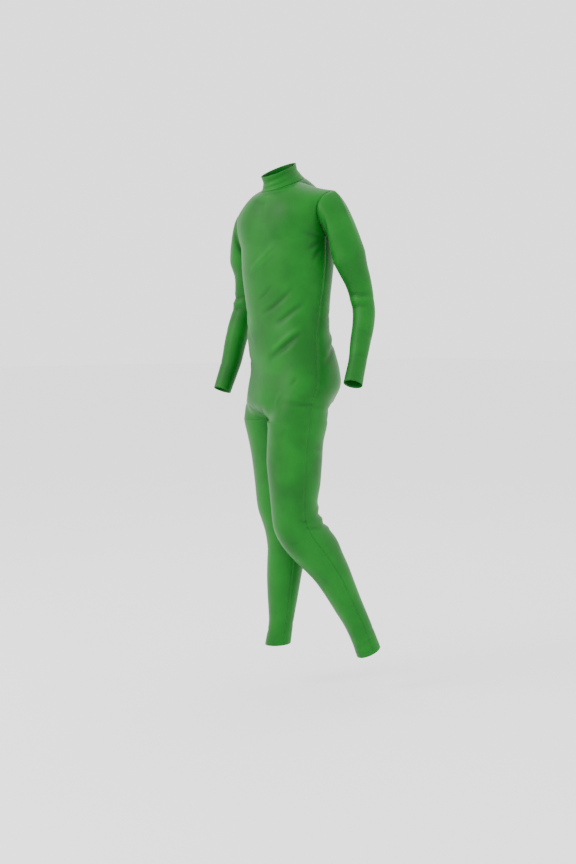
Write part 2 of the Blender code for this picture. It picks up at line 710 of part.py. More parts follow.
def make_part():
    """Build every piece."""
    for thing in list(bpy.data.objects):
        bpy.data.objects.remove(thing)
    parts = bpy.data.collections.new(NAME)
    bpy.context.scene.collection.children.link(parts)
    cloth, line = make_cloth()
    for mesh in wall_meshes(cloth):
        add_object(mesh, parts, material(mesh.name + "_cloth", CLOTH_GREEN, 0.5))
    below = -WALL - TAPE_GAP
    tape = zip_strip("zip_tape", cloth, line, TAPE_WIDTH, below - TAPE_THICKNESS, below)
    chain = zip_strip("zip_chain", cloth, line, CHAIN_WIDTH, SEAM_GAP, SEAM_GAP + CHAIN_THICKNESS)
    frame = slider_frame(cloth, line)
    slider, hinge = slider_mesh(frame)
    tab = tab_mesh(frame, hinge)
    add_object(tape, parts, material("zip_tape_cloth", ZIP_GREEN, 0.8))
    add_object(chain, parts, material("zip_chain_plastic", ZIP_GREEN, 0.45))
    add_object(slider, parts, material("zip_slider_paint", ZIP_GREEN, 0.35, 0.3))
    add_object(tab, parts, material("zip_tab_paint", ZIP_GREEN, 0.35, 0.3))


make_part()
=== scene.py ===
"""The look of a green dance unitard: stretch cloth with its creases, seams, stitching and back zip.

Each piece of cloth is made from the same tables as its solid, on a finer grid, so it has the same form.
"""
import math

import bpy
import numpy as np
from mathutils import Matrix, Vector


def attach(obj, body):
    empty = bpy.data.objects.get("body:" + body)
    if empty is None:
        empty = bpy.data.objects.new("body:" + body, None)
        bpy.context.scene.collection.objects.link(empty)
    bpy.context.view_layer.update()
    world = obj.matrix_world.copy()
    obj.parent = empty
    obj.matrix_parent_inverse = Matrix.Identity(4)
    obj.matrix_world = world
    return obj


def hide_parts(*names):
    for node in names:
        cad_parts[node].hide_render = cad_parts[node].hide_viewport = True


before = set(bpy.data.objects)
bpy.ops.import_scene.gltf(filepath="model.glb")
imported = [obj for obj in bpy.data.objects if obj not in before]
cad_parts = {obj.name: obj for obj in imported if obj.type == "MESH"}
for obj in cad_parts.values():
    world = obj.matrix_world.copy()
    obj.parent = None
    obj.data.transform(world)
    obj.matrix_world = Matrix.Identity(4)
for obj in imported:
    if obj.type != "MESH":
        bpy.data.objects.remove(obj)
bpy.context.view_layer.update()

bl_info = {
    "name": "Dance unitard",
    "version": (1, 0, 0),
    "blender": (4, 5, 0),
    "location": "3D View > Sidebar > Unitard",
    "description": "Builds the cloth, stitching, zip and stage of a dance unitard",
    "category": "Object",
}

ORIGIN_HEIGHT = 1.47
FRONT_COLUMNS = 36
BACK_COLUMNS = 36
NECK_COLUMNS = 18
TORSO_ROW_STEP = 0.006
YOKE_ROWS = 36
SLEEVE_CAP_ROWS = 18
SLEEVE_ROW_STEP = 0.006
COLLAR_ROWS = 14
LEG_ROWS = 112
ARCH_ROWS = 3
CROTCH_HEIGHT = 0.817
CROTCH_BACK = -0.0095
CROTCH_ROWS = 12
CROTCH_RISE = 0.062
THIGH_BLEND = 0.125
UNDERARM_HEIGHT = 1.335
NECK_HEIGHT = 1.50
CHEST_TURN = 9.5
PELVIS_TURN = -14.0
SHOULDER_ROLL = 0.10
ROLL_START = 1.02
SECTION_FULLNESS = 0.92
INSEAM_SHARE = 0.08
INSEAM_BLEND = 0.30
EVEN_LIFT = 0.35
SEAM_DIP = 0.004
COLLAR_WAIST = -0.10
UNDERARM_OUT = (0.5, 0, -0.85)
ZIP_LENGTH = 0.45
ZIP_BELOW_TOP = 0.002
COLLAR_STITCH_ROW = 2
STITCH_ROWS_APART = 0.0045
TOOTH_LIFT = 0.0018
TOOTH_ASIDE = 0.0008

CAMERA_TURN = 52.0
CAMERA_TILT = 4.34
CAMERA_LENS = 89.0
CAMERA_DISTANCE = 4.2
CAMERA_LEVEL = -0.37
LIGHT_AIM = -0.6
WORLD_STRENGTH = 2.0
# name, degrees from the camera, height, distance, size, power
LIGHTS = (
    ("key light", -62.0, 1.3, 3.4, 1.6, 95.0),
    ("fill light", 55.0, 0.8, 3.8, 2.6, 15.0),
    ("top light", 160.0, 2.4, 2.6, 2.4, 25.0),
)


# height, half width, depth in front of the axis, depth behind it, axis moved back, turn in degrees
TORSO = (
    (0.817, 0.1755, 0.1000, 0.1040, 0.0000, -14.0),
    (0.849, 0.1740, 0.1110, 0.1140, 0.0020, -14.0),
    (0.876, 0.1720, 0.1200, 0.1200, 0.0080, -14.0),
    (0.911, 0.1700, 0.1210, 0.1300, 0.0150, -14.0),
    (0.961, 0.1640, 0.1070, 0.1300, 0.0130, -12.0),
    (1.023, 0.1520, 0.1040, 0.1180, 0.0060, -7.0),
    (1.068, 0.1450, 0.1010, 0.1050, 0.0000, -3.0),
    (1.112, 0.1430, 0.0980, 0.0980, 0.0000, 0.5),
    (1.171, 0.1440, 0.1000, 0.0960, 0.0000, 4.5),
    (1.215, 0.1460, 0.1060, 0.1000, 0.0000, 7.0),
    (1.260, 0.1470, 0.1120, 0.1070, 0.0000, 9.0),
    (1.335, 0.1490, 0.1150, 0.1130, 0.0000, 9.5),
)
# height, across from the centre plane, back, half width, half depth, tilt of the section in degrees
LEFT_LEG = (
    (0.817, 0.0882, CROTCH_BACK, 0.0873, 0.0880, 0.0),
    (0.804, 0.0910, -0.0112, 0.0845, 0.0865, 0.0),
    (0.765, 0.0888, -0.0155, 0.0835, 0.0820, 0.0),
    (0.698, 0.0875, -0.0185, 0.0810, 0.0805, 0.0),
    (0.632, 0.0865, -0.0175, 0.0760, 0.0745, 0.0),
    (0.583, 0.0855, -0.0184, 0.0700, 0.0685, 0.0),
    (0.548, 0.0845, -0.0137, 0.0660, 0.0695, 4.0),
    (0.515, 0.0840, -0.0044, 0.0640, 0.0735, 10.0),
    (0.479, 0.0840, 0.0182, 0.0620, 0.0745, 19.0),
    (0.436, 0.0840, 0.0542, 0.0600, 0.0700, 27.0),
    (0.396, 0.0850, 0.0830, 0.0575, 0.0600, 30.0),
    (0.366, 0.0860, 0.1032, 0.0560, 0.0545, 30.0),
    (0.334, 0.0870, 0.1209, 0.0530, 0.0500, 29.0),
    (0.270, 0.0890, 0.1542, 0.0470, 0.0430, 28.0),
    (0.214, 0.0910, 0.1840, 0.0410, 0.0385, 27.0),
    (0.168, 0.0920, 0.2049, 0.0375, 0.0375, 26.0),
    (0.122, 0.0930, 0.2230, 0.0375, 0.0385, 25.0),
)
RIGHT_LEG = (
    (0.817, -0.0882, CROTCH_BACK, 0.0873, 0.0880, 0.0),
    (0.804, -0.0910, -0.0078, 0.0845, 0.0870, 0.0),
    (0.775, -0.0888, -0.0040, 0.0838, 0.0843, 0.0),
    (0.721, -0.0875, 0.0042, 0.0830, 0.0810, 0.0),
    (0.631, -0.0855, 0.0097, 0.0770, 0.0750, 0.0),
    (0.541, -0.0830, 0.0131, 0.0690, 0.0685, 0.0),
    (0.474, -0.0810, 0.0290, 0.0620, 0.0635, 0.0),
    (0.423, -0.0800, 0.0313, 0.0580, 0.0585, 0.0),
    (0.384, -0.0800, 0.0282, 0.0570, 0.0565, 0.0),
    (0.339, -0.0800, 0.0231, 0.0545, 0.0525, 0.0),
    (0.267, -0.0810, 0.0181, 0.0480, 0.0450, 0.0),
    (0.234, -0.0820, 0.0164, 0.0440, 0.0410, 0.0),
    (0.195, -0.0830, 0.0139, 0.0390, 0.0375, 0.0),
    (0.162, -0.0840, 0.0093, 0.0370, 0.0385, 1.0),
    (0.130, -0.0850, 0.0043, 0.0375, 0.0400, 3.0),
)
# height, across from the centre plane, back, radius
LEFT_ARM = (
    (1.292, 0.2110, 0.0260, 0.0490),
    (1.255, 0.2150, 0.0420, 0.0425),
    (1.226, 0.2200, 0.0535, 0.0385),
    (1.169, 0.2310, 0.0620, 0.0340),
    (1.132, 0.2380, 0.0615, 0.0325),
    (1.097, 0.2430, 0.0525, 0.0315),
    (1.049, 0.2500, 0.0317, 0.0295),
    (0.992, 0.2590, 0.0078, 0.0262),
    (0.956, 0.2640, -0.0095, 0.0268),
    (0.931, 0.2680, -0.0220, 0.0275),
)
RIGHT_ARM = (
    (1.290, 0.2110, 0.0400, 0.0480),
    (1.251, 0.2170, 0.0550, 0.0420),
    (1.205, 0.2250, 0.0610, 0.0380),
    (1.143, 0.2350, 0.0585, 0.0360),
    (1.082, 0.2410, 0.0380, 0.0345),
    (1.035, 0.2450, 0.0258, 0.0330),
    (0.989, 0.2490, 0.0160, 0.0310),
    (0.959, 0.2520, 0.0060, 0.0295),
    (0.928, 0.2550, -0.0056, 0.0282),
    (0.898, 0.2570, -0.0176, 0.0270),
)

ARMHOLE_LOW = (0.149, 1.335)
ARMHOLE_TOP = (0.170, 1.4625)
ARMHOLE_BACK = 0.0065
ARMHOLE_HALF_DEPTH = 0.052
CAP_TOP_REACH = (0.095, 0.0, -0.020)
CAP_LOW_REACH = (0.090, 0.0, -0.005)
CAP_END_REACH = (0.040, 0.110)

# centre back, centre height, half width, half depth, rise towards the back
NECK_SEAM = (-0.022, 1.5030, 0.0620, 0.0650, 0.36)
COLLAR_TOP = (-0.041, 1.5445, 0.0500, 0.0520, 0.45)

SEAM_DEPTH = 0.0005
# crease depth at which the painted shade in valleys and the painted highlight on ridges reach full strength
CREASE_DEPTH_FOR_PAINTED_LIGHT = 0.0030
ROUTE_POINTS = 13

# The largest creases. Body levels are heights above the floor, sleeve and collar levels
# run from 0 at the armhole or neck seam to 1 at the free edge. Across is 0 at the centre front or
# inseam, 0.5 at the side and 1 at the centre back, negative on the right; on a sleeve it runs from the
# underarm round the front, and on the collar from the centre back round the left.
# piece, across and level at one end, across and level at the other, bow, half width, depth
CREASES = (
    ("body", 0.089, 1.321, -0.087, 1.259, 0.000, 0.0060, 0.0022),
    ("body", 0.089, 1.300, -0.060, 1.256, 0.000, 0.0050, 0.0016),
    ("body", 0.070, 1.206, -0.024, 1.171, 0.000, 0.0060, -0.0020),
    ("body", 0.223, 1.194, 0.004, 1.132, -0.008, 0.0080, -0.0030),
    ("body", 0.333, 1.156, 0.132, 1.097, 0.000, 0.0090, -0.0036),
    ("body", 0.343, 1.070, 0.114, 1.003, 0.000, 0.0115, -0.0052),
    ("body", 0.352, 1.090, 0.130, 1.026, 0.000, 0.0090, 0.0030),
    ("body", 0.340, 0.947, 0.313, 0.926, 0.000, 0.0070, -0.0018),
    ("body", 0.246, 0.905, 0.240, 0.867, 0.000, 0.0060, 0.0018),
    ("body", 0.307, 0.876, 0.577, 0.861, 0.004, 0.0070, -0.0024),
    ("body", 0.100, 0.862, 0.020, 0.835, 0.000, 0.0090, -0.0030),
    ("body", -0.100, 0.862, -0.020, 0.835, 0.000, 0.0090, -0.0026),
    ("body", 0.540, 0.752, 0.647, 0.734, 0.000, 0.0060, -0.0018),
    ("body", 0.520, 0.738, 0.620, 0.722, 0.000, 0.0050, 0.0012),
    ("body", 0.454, 0.540, 0.520, 0.528, 0.000, 0.0060, -0.0022),
    ("body", 0.475, 0.516, 0.600, 0.504, 0.000, 0.0060, -0.0022),
    ("body", 0.347, 0.486, 0.403, 0.486, 0.000, 0.0060, -0.0016),
    ("body", 0.640, 0.565, 0.860, 0.560, 0.004, 0.0080, 0.0028),
    ("body", 0.620, 0.545, 0.880, 0.540, 0.003, 0.0070, -0.0030),
    ("body", 0.620, 0.524, 0.880, 0.516, 0.003, 0.0080, 0.0028),
    ("body", 0.640, 0.504, 0.880, 0.496, 0.003, 0.0070, -0.0030),
    ("body", 0.660, 0.484, 0.860, 0.478, 0.000, 0.0070, 0.0022),
    ("body", -0.600, 0.500, -0.900, 0.494, 0.004, 0.0070, -0.0024),
    ("body", -0.620, 0.478, -0.880, 0.470, 0.003, 0.0070, -0.0026),
    ("body", -0.300, 0.520, -0.420, 0.505, 0.000, 0.0070, -0.0015),
    ("body", 0.300, 0.160, 0.600, 0.165, 0.000, 0.0050, -0.0012),
    ("body", 0.550, 0.185, 0.850, 0.178, 0.000, 0.0050, -0.0010),
    ("body", -0.200, 0.172, -0.500, 0.168, 0.000, 0.0060, -0.0014),
    ("body", -0.600, 0.200, -0.900, 0.192, 0.000, 0.0060, -0.0012),
    ("body", 0.880, 1.065, 0.620, 1.020, -0.006, 0.0110, -0.0042),
    ("body", 0.880, 1.090, 0.660, 1.045, -0.004, 0.0100, 0.0026),
    ("body", -0.880, 1.080, -0.640, 1.035, -0.006, 0.0110, -0.0040),
    ("body", 0.860, 1.150, 0.680, 1.115, 0.000, 0.0090, -0.0026),
    ("body", -0.870, 1.140, -0.700, 1.100, 0.000, 0.0090, -0.0024),
    ("body", 0.700, 1.030, 0.550, 0.985, 0.000, 0.0080, -0.0022),
    ("body", 0.900, 0.862, 0.620, 0.846, 0.006, 0.0090, -0.0030),
    ("body", -0.900, 0.860, -0.600, 0.838, 0.006, 0.0100, -0.0034),
    ("body", 0.860, 0.835, 0.660, 0.822, 0.000, 0.0080, -0.0022),
    ("body", -0.880, 0.828, -0.620, 0.812, 0.000, 0.0080, -0.0024),
    ("body", -0.300, 1.100, -0.080, 1.045, 0.004, 0.0090, -0.0030),
    ("body", -0.360, 1.160, -0.150, 1.110, 0.000, 0.0080, -0.0026),
    ("body", -0.350, 1.020, -0.120, 0.975, 0.000, 0.0100, -0.0034),
    ("body", -0.450, 0.875, -0.250, 0.860, 0.000, 0.0070, -0.0020),
    ("body", 0.470, 1.325, 0.330, 1.300, 0.000, 0.0070, -0.0026),
    ("body", 0.470, 1.315, 0.380, 1.270, 0.000, 0.0070, -0.0022),
    ("body", 0.480, 1.330, 0.300, 1.345, 0.000, 0.0060, -0.0018),
    ("body", -0.470, 1.325, -0.330, 1.300, 0.000, 0.0070, -0.0024),
    ("body", -0.470, 1.310, -0.390, 1.265, 0.000, 0.0070, -0.0020),
    ("body", 0.530, 1.325, 0.680, 1.300, 0.000, 0.0080, -0.0024),
    ("body", -0.530, 1.325, -0.680, 1.300, 0.000, 0.0080, -0.0024),
    ("body", 0.020, 1.482, 0.200, 1.455, 0.000, 0.0050, -0.0014),
    ("body", -0.100, 1.475, 0.120, 1.448, 0.000, 0.0050, 0.0012),
    ("body", -0.180, 1.465, 0.050, 1.432, 0.000, 0.0060, -0.0014),
    ("body", 0.100, 1.490, 0.260, 1.472, 0.000, 0.0050, -0.0012),
    ("collar", 0.300, 0.75, 0.620, 0.60, 0.02, 0.0040, -0.0012),
    ("collar", 0.320, 0.52, 0.660, 0.36, 0.00, 0.0040, 0.0010),
    ("collar", 0.280, 0.40, 0.600, 0.22, 0.00, 0.0040, -0.0012),
    ("collar", 0.620, 0.70, 0.860, 0.52, 0.00, 0.0040, -0.0010),
    ("collar", 0.080, 0.62, 0.280, 0.50, 0.00, 0.0040, -0.0010),
    ("collar", 0.100, 0.36, 0.300, 0.26, 0.00, 0.0040, 0.0010),
    ("collar", 0.660, 0.34, 0.920, 0.30, 0.00, 0.0040, -0.0010),
    ("sleeve_left", 0.15, 0.44, 0.50, 0.47, 0.008, 0.0080, -0.0028),
    ("sleeve_left", 0.12, 0.48, 0.46, 0.50, 0.000, 0.0070, 0.0022),
    ("sleeve_left", 0.10, 0.53, 0.42, 0.54, 0.000, 0.0070, -0.0026),
    ("sleeve_left", 0.62, 0.50, 0.88, 0.49, 0.000, 0.0090, -0.0018),
    ("sleeve_left", 0.06, 0.16, 0.24, 0.06, 0.000, 0.0080, -0.0030),
    ("sleeve_left", 0.04, 0.24, 0.22, 0.18, 0.000, 0.0080, -0.0022),
    ("sleeve_left", 0.94, 0.16, 0.78, 0.06, 0.000, 0.0080, -0.0026),
    ("sleeve_left", 0.30, 0.70, 0.60, 0.73, 0.000, 0.0060, -0.0014),
    ("sleeve_left", 0.20, 0.84, 0.62, 0.845, 0.00, 0.0050, -0.0012),
    ("sleeve_left", 0.70, 0.90, 0.95, 0.88, 0.000, 0.0050, -0.0012),
    ("sleeve_right", 0.12, 0.42, 0.48, 0.45, 0.006, 0.0080, -0.0026),
    ("sleeve_right", 0.14, 0.47, 0.44, 0.49, 0.000, 0.0070, 0.0020),
    ("sleeve_right", 0.10, 0.51, 0.40, 0.53, 0.000, 0.0070, -0.0024),
    ("sleeve_right", 0.64, 0.48, 0.90, 0.47, 0.000, 0.0090, -0.0018),
    ("sleeve_right", 0.06, 0.15, 0.24, 0.06, 0.000, 0.0080, -0.0028),
    ("sleeve_right", 0.94, 0.17, 0.78, 0.07, 0.000, 0.0080, -0.0026),
    ("sleeve_right", 0.34, 0.66, 0.64, 0.69, 0.000, 0.0060, -0.0014),
    ("sleeve_right", 0.18, 0.85, 0.60, 0.855, 0.00, 0.0050, -0.0012),
)


def smooth_rows(table, heights):
    """Read a table of sections at the given heights, with a smooth curve through its rows."""
    rows = np.array(sorted(table))
    known = rows[:, 0]
    slopes = np.gradient(rows, known, axis=0)
    result = []
    for height in heights:
        i = int(np.clip(np.searchsorted(known, height) - 1, 0, len(known) - 2))
        span = known[i + 1] - known[i]
        t = (height - known[i]) / span
        low = rows[i] * (2 * t**3 - 3 * t**2 + 1) + slopes[i] * span * (t**3 - 2 * t**2 + t)
        high = rows[i + 1] * (3 * t**2 - 2 * t**3) + slopes[i + 1] * span * (t**3 - t**2)
        result.append(low + high)
    return np.array(result)


def turned(point, degrees):
    """Turn a point about the upright axis."""
    angle = math.radians(degrees)
    c, s = math.cos(angle), math.sin(angle)
    x, y, z = point
    return np.array((x * c - y * s, x * s + y * c, z))


def placed(point):
    """Move a point from the chest's own directions and floor heights to the part's frame."""
    x, y, z = point
    return turned((x, y, z + SHOULDER_ROLL * x - ORIGIN_HEIGHT), CHEST_TURN)


def column_turns():
    """The turn of each column round a half section: 0 centre front, 0.5 side, 1 centre back."""
    front = np.linspace(0.0, 0.5, FRONT_COLUMNS + 1)
    back = np.linspace(0.5, 1.0, BACK_COLUMNS + 1)
    return np.concatenate((front, back[1:]))


def torso_point(row, side, turn):
    """A point on half of a torso section."""
    height, width, front, back, moved, _ = row
    angle = math.pi * turn
    depth = front if turn <= 0.5 else back
    x = side * width * abs(math.sin(angle)) ** SECTION_FULLNESS
    y = moved - math.copysign(depth * abs(math.cos(angle)) ** SECTION_FULLNESS, math.cos(angle))
    return np.array((x, y, height))


def leg_point(row, side, turn):
    """A point on a leg section: turn 0 and 1 lie on the inseam."""
    height, across, back, width, depth, tilt = row
    angle = 2 * math.pi * turn
    reach = -depth * math.sin(angle)
    lean = math.radians(tilt)
    x = across - side * width * math.cos(angle)
    return np.array((x, back + reach * math.cos(lean), height + reach * math.sin(lean)))


def torso_rows(side):
    """Rows of points from the crotch to the underarm, for one side."""
    leg_row = LEFT_LEG[0] if side > 0 else RIGHT_LEG[0]
    rows = []
    for row in smooth_rows(TORSO, torso_heights()):
        rise = min(1.0, (row[0] - CROTCH_HEIGHT) / CROTCH_RISE)
        edge_share = 1 - math.sqrt(max(0.0, 1 - (1 - rise) ** 2))
        climb = min(1.0, (row[0] - CROTCH_HEIGHT) / THIGH_BLEND)
        body_share = 1 - climb * climb * (3 - 2 * climb)
        roll = SHOULDER_ROLL * float(np.clip((row[0] - ROLL_START) / (UNDERARM_HEIGHT - ROLL_START), 0, 1))
        points = []
        for turn in column_turns():
            body = torso_point(row, side, turn)
            leg = leg_point((row[0],) + leg_row[1:], side, turn)
            away = float(np.clip((min(turn, 1 - turn) - INSEAM_SHARE) / INSEAM_BLEND, 0, 1))
            edge = 1 - away * away * (3 - 2 * away)
            leg_share = body_share * (1 - edge) + edge_share * edge
            point = body * (1 - leg_share) + leg * leg_share
            point[2] += roll * point[0] - ORIGIN_HEIGHT
            points.append(turned(point, row[5]))
        rows.append(points)
    return np.array(rows)


def leg_rows(side):
    """Rows of points from the crotch down to the ankle, for one side."""
    table = LEFT_LEG if side > 0 else RIGHT_LEG
    rows = []
    for row in smooth_rows(table, leg_heights(table)):
        points = [leg_point(row, side, turn) for turn in column_turns()]
        rows.append([turned((x, y, z - ORIGIN_HEIGHT), PELVIS_TURN) for x, y, z in points])
    return np.array(rows)


def lift(share):
    """How far up a yoke row lies: quick at the chest, slow where the shoulder turns over."""
    return EVEN_LIFT * share + (1 - EVEN_LIFT) * math.sin(math.pi * share / 2)


def armhole_point(side, share, face):
    """A point on the armhole: share 0 is the underarm and 1 the shoulder tip; face -1 is the front."""
    low_x, low_z = ARMHOLE_LOW
    top_x, top_z = ARMHOLE_TOP
    height = low_z + (top_z - low_z) * lift(share)
    x = low_x + (top_x - low_x) * share - SEAM_DIP * math.sin(math.pi * share)
    y = ARMHOLE_BACK * share + face * ARMHOLE_HALF_DEPTH * math.sin(math.pi * share)
    return np.array((side * x, y, height))


def ring_point(ring, side, turn):
    """A point on the neck seam or the collar's top edge."""
    back, height, width, depth, rise = ring
    angle = math.pi * turn
    y = -depth * math.cos(angle)
    return np.array((side * width * math.sin(angle), back + y, height + rise * y))


def yoke_rows(side, face, lowest):
    """Rows from the underarm up to the neck seam and shoulder seam, centre first."""
    columns = len(lowest) - 1
    centre_turn = 0.0 if face < 0 else 1.0
    neck_side = ring_point(NECK_SEAM, side, 0.5)
    tip = armhole_point(side, 1.0, face)
    top = []
    for i in range(columns + 1):
        if i <= NECK_COLUMNS:
            turn = centre_turn + (0.5 - centre_turn) * i / NECK_COLUMNS
            top.append(ring_point(NECK_SEAM, side, turn))
        else:
            share = (i - NECK_COLUMNS) / (columns - NECK_COLUMNS)
            point = neck_side + (tip - neck_side) * share
            point[2] -= SEAM_DIP * math.sin(math.pi * share)
            top.append(point)
    top = np.array([placed(point) for point in top])
    centre_low, centre_top = lowest[0], top[0]
    rows = []
    for k in range(YOKE_ROWS + 1):
        t = k / YOKE_ROWS
        level = 1 - math.cos(math.pi * t / 2)
        blend = np.array((level, level, lift(t)))
        centre = centre_low + (centre_top - centre_low) * blend
        edge = placed(armhole_point(side, t, face))
        if t in (0, 1):
            edge = top[-1] if t else lowest[-1]
        row = []
        for i in range(columns + 1):
            s = i / columns
            plain = lowest[i] * (1 - blend) + top[i] * blend
            centre_extra = centre - (centre_low * (1 - blend) + centre_top * blend)
            edge_extra = edge - (lowest[-1] * (1 - blend) + top[-1] * blend)
            row.append(plain + centre_extra * (1 - s) + edge_extra * s)
        rows.append(row)
    return np.array(rows)


def arm_rings(side, armhole):
    """Rings of a sleeve from the armhole to the cuff, each with as many points as the armhole."""
    table = LEFT_ARM if side > 0 else RIGHT_ARM
    top, low = table[0][0], table[-1][0]
    heights = np.linspace(top, low, round((top - low) / SLEEVE_ROW_STEP) + 1)
    sections = smooth_rows(table, heights)
    centres = np.array([turned((side * x, y, z - ORIGIN_HEIGHT), CHEST_TURN) for z, x, y, _ in sections])
    along = np.gradient(centres, axis=0)
    along /= np.linalg.norm(along, axis=1)[:, None]
    outward = turned((side, 0, 0), CHEST_TURN)
    count = len(armhole)
    rings = []
    for section, centre, axis in zip(sections, centres, along):
        out = outward - axis * outward.dot(axis)
        out /= np.linalg.norm(out)
        forward = np.cross(axis, out) * side
        ring = []
        for i in range(count):
            angle = 2 * math.pi * i / count
            ring.append(centre + section[3] * (forward * math.sin(angle) - out * math.cos(angle)))
        rings.append(ring)
    rings = np.array(rings)
    cap = []
    top_reach = turned((side * CAP_TOP_REACH[0], 0, CAP_TOP_REACH[2]), CHEST_TURN)
    low_reach = turned((side * CAP_LOW_REACH[0], 0, CAP_LOW_REACH[2]), CHEST_TURN)
    for k in range(SLEEVE_CAP_ROWS):
        t = k / SLEEVE_CAP_ROWS
        start = 2 * t**3 - 3 * t**2 + 1
        leave = t**3 - 2 * t**2 + t
        arrive = t**3 - t**2
        ring = []
        for i in range(count):
            up = (1 - math.cos(2 * math.pi * i / count)) / 2
            reach = low_reach * (1 - up) + top_reach * up
            end = along[0] * (CAP_END_REACH[0] * (1 - up) + CAP_END_REACH[1] * up)
            point = armhole[i] * start + rings[0][i] * (1 - start) + reach * leave + end * arrive
            ring.append(point)
        cap.append(ring)
    return np.concatenate((np.array(cap), rings))


def collar_rows():
    """Rows from the neck seam to the collar's top edge, round from the left to the right back edge."""
    turns = [1 - 0.5 * i / NECK_COLUMNS for i in range(2 * NECK_COLUMNS + 1)]
    route = [(1, turn) for turn in turns] + [(-1, turn) for turn in reversed(turns[:-1])]
    rows = []
    for k in range(COLLAR_ROWS + 1):
        t = k / COLLAR_ROWS
        row = []
        for side, turn in route:
            low = ring_point(NECK_SEAM, side, turn)
            high = ring_point(COLLAR_TOP, side, turn)
            inward = np.array((low[0], low[1] - NECK_SEAM[0], 0)) * COLLAR_WAIST * math.sin(math.pi * t)
            row.append(placed(low + (high - low) * t + inward))
        rows.append(row)
    return np.array(rows)


class Cloth:
    """All panels' outer points, shared at the seams, so that the walls meet squarely."""

    def __init__(self):
        self.index = {}
        self.points = []
        self.panels = {}
        self.set_normals = {}
        self.twins = {}
        self.flat = {}

    def add(self, panel, grid, flip, slit=False):
        """Add a grid of points to a panel as faces that point outwards; a slit parts its two side edges."""
        ids = [[self.point_id(point) for point in row] for row in grid]
        if slit:
            for row in ids:
                self.twins[len(self.points)] = row[-1]
                self.points.append(self.points[row[-1]])
                row[-1] = len(self.points) - 1
        grid = np.array(grid)
        steps = np.linalg.norm(np.diff(grid, axis=1), axis=2)
        across = np.cumsum(np.concatenate((np.zeros((len(grid), 1)), steps), axis=1), axis=1)
        middle = grid[:, grid.shape[1] // 2]
        down = np.concatenate(((0.0,), np.cumsum(np.linalg.norm(np.diff(middle, axis=0), axis=1)))) + middle[0, 2]
        flat = self.flat.setdefault(panel, {})
        for k, row in enumerate(ids):
            for i, point in enumerate(row):
                flat.setdefault(point, (-across[k, i] if flip else across[k, i], down[k]))
        faces = self.panels.setdefault(panel, [])
        for low, high in zip(ids, ids[1:]):
            for i in range(len(low) - 1):
                face = (low[i], low[i + 1], high[i + 1], high[i])
                faces.append(face[::-1] if flip else face)

    def point_id(self, point):
        """The number of a point, the same for points that coincide."""
        key = tuple(round(float(value), 6) for value in point)
        if key not in self.index:
            self.index[key] = len(self.points)
            self.points.append(np.array(point, dtype=float))
        return self.index[key]

    def normals(self):
        """Outward directions at all points, from the faces of every panel that meets there."""
        total = np.zeros((len(self.points), 3))
        for faces in self.panels.values():
            for face in faces:
                a, b, c, d = (self.points[i] for i in face)
                normal = np.cross(c - a, d - b)
                for i in face:
                    total[self.twins.get(i, i)] += normal / np.linalg.norm(normal)
        for i, same in self.twins.items():
            total[i] = total[same]
        total /= np.linalg.norm(total, axis=1)[:, None]
        for i, normal in self.set_normals.items():
            total[i] = normal
        return total


def zip_rows(cloth, line, stops):
    """Centre, left and right points of the centre back, each with its outward direction, at given lengths."""
    points, normals = np.array(cloth.points), cloth.normals()
    steps = np.linalg.norm(np.diff(points[line[:, 0]], axis=0), axis=1)
    lengths = np.concatenate(((0.0,), np.cumsum(steps)))
    rows = []
    for stop in stops:
        k = int(np.clip(np.searchsorted(lengths, stop, side="right") - 1, 0, len(steps) - 1))
        share = (stop - lengths[k]) / steps[k]
        place = points[line[k]] * (1 - share) + points[line[k + 1]] * share
        rows.append((place, normals[line[k]] * (1 - share) + normals[line[k + 1]] * share))
    return rows, lengths


def leg_heights(table):
    """The heights of a leg's rows, top first."""
    top, arch = table[0][0], table[1][0]
    return list(np.linspace(top, arch, ARCH_ROWS + 1)[:-1]) + list(np.linspace(arch, table[-1][0], LEG_ROWS))


def torso_heights():
    """The heights of the torso's rows, crotch first."""
    arc = [math.radians(90 * i / CROTCH_ROWS) for i in range(CROTCH_ROWS)]
    first = CROTCH_HEIGHT + CROTCH_RISE
    count = round((UNDERARM_HEIGHT - first) / TORSO_ROW_STEP)
    low = [CROTCH_HEIGHT + CROTCH_RISE * (1 - math.cos(angle)) for angle in arc]
    return low + list(np.linspace(first, UNDERARM_HEIGHT, count + 1))


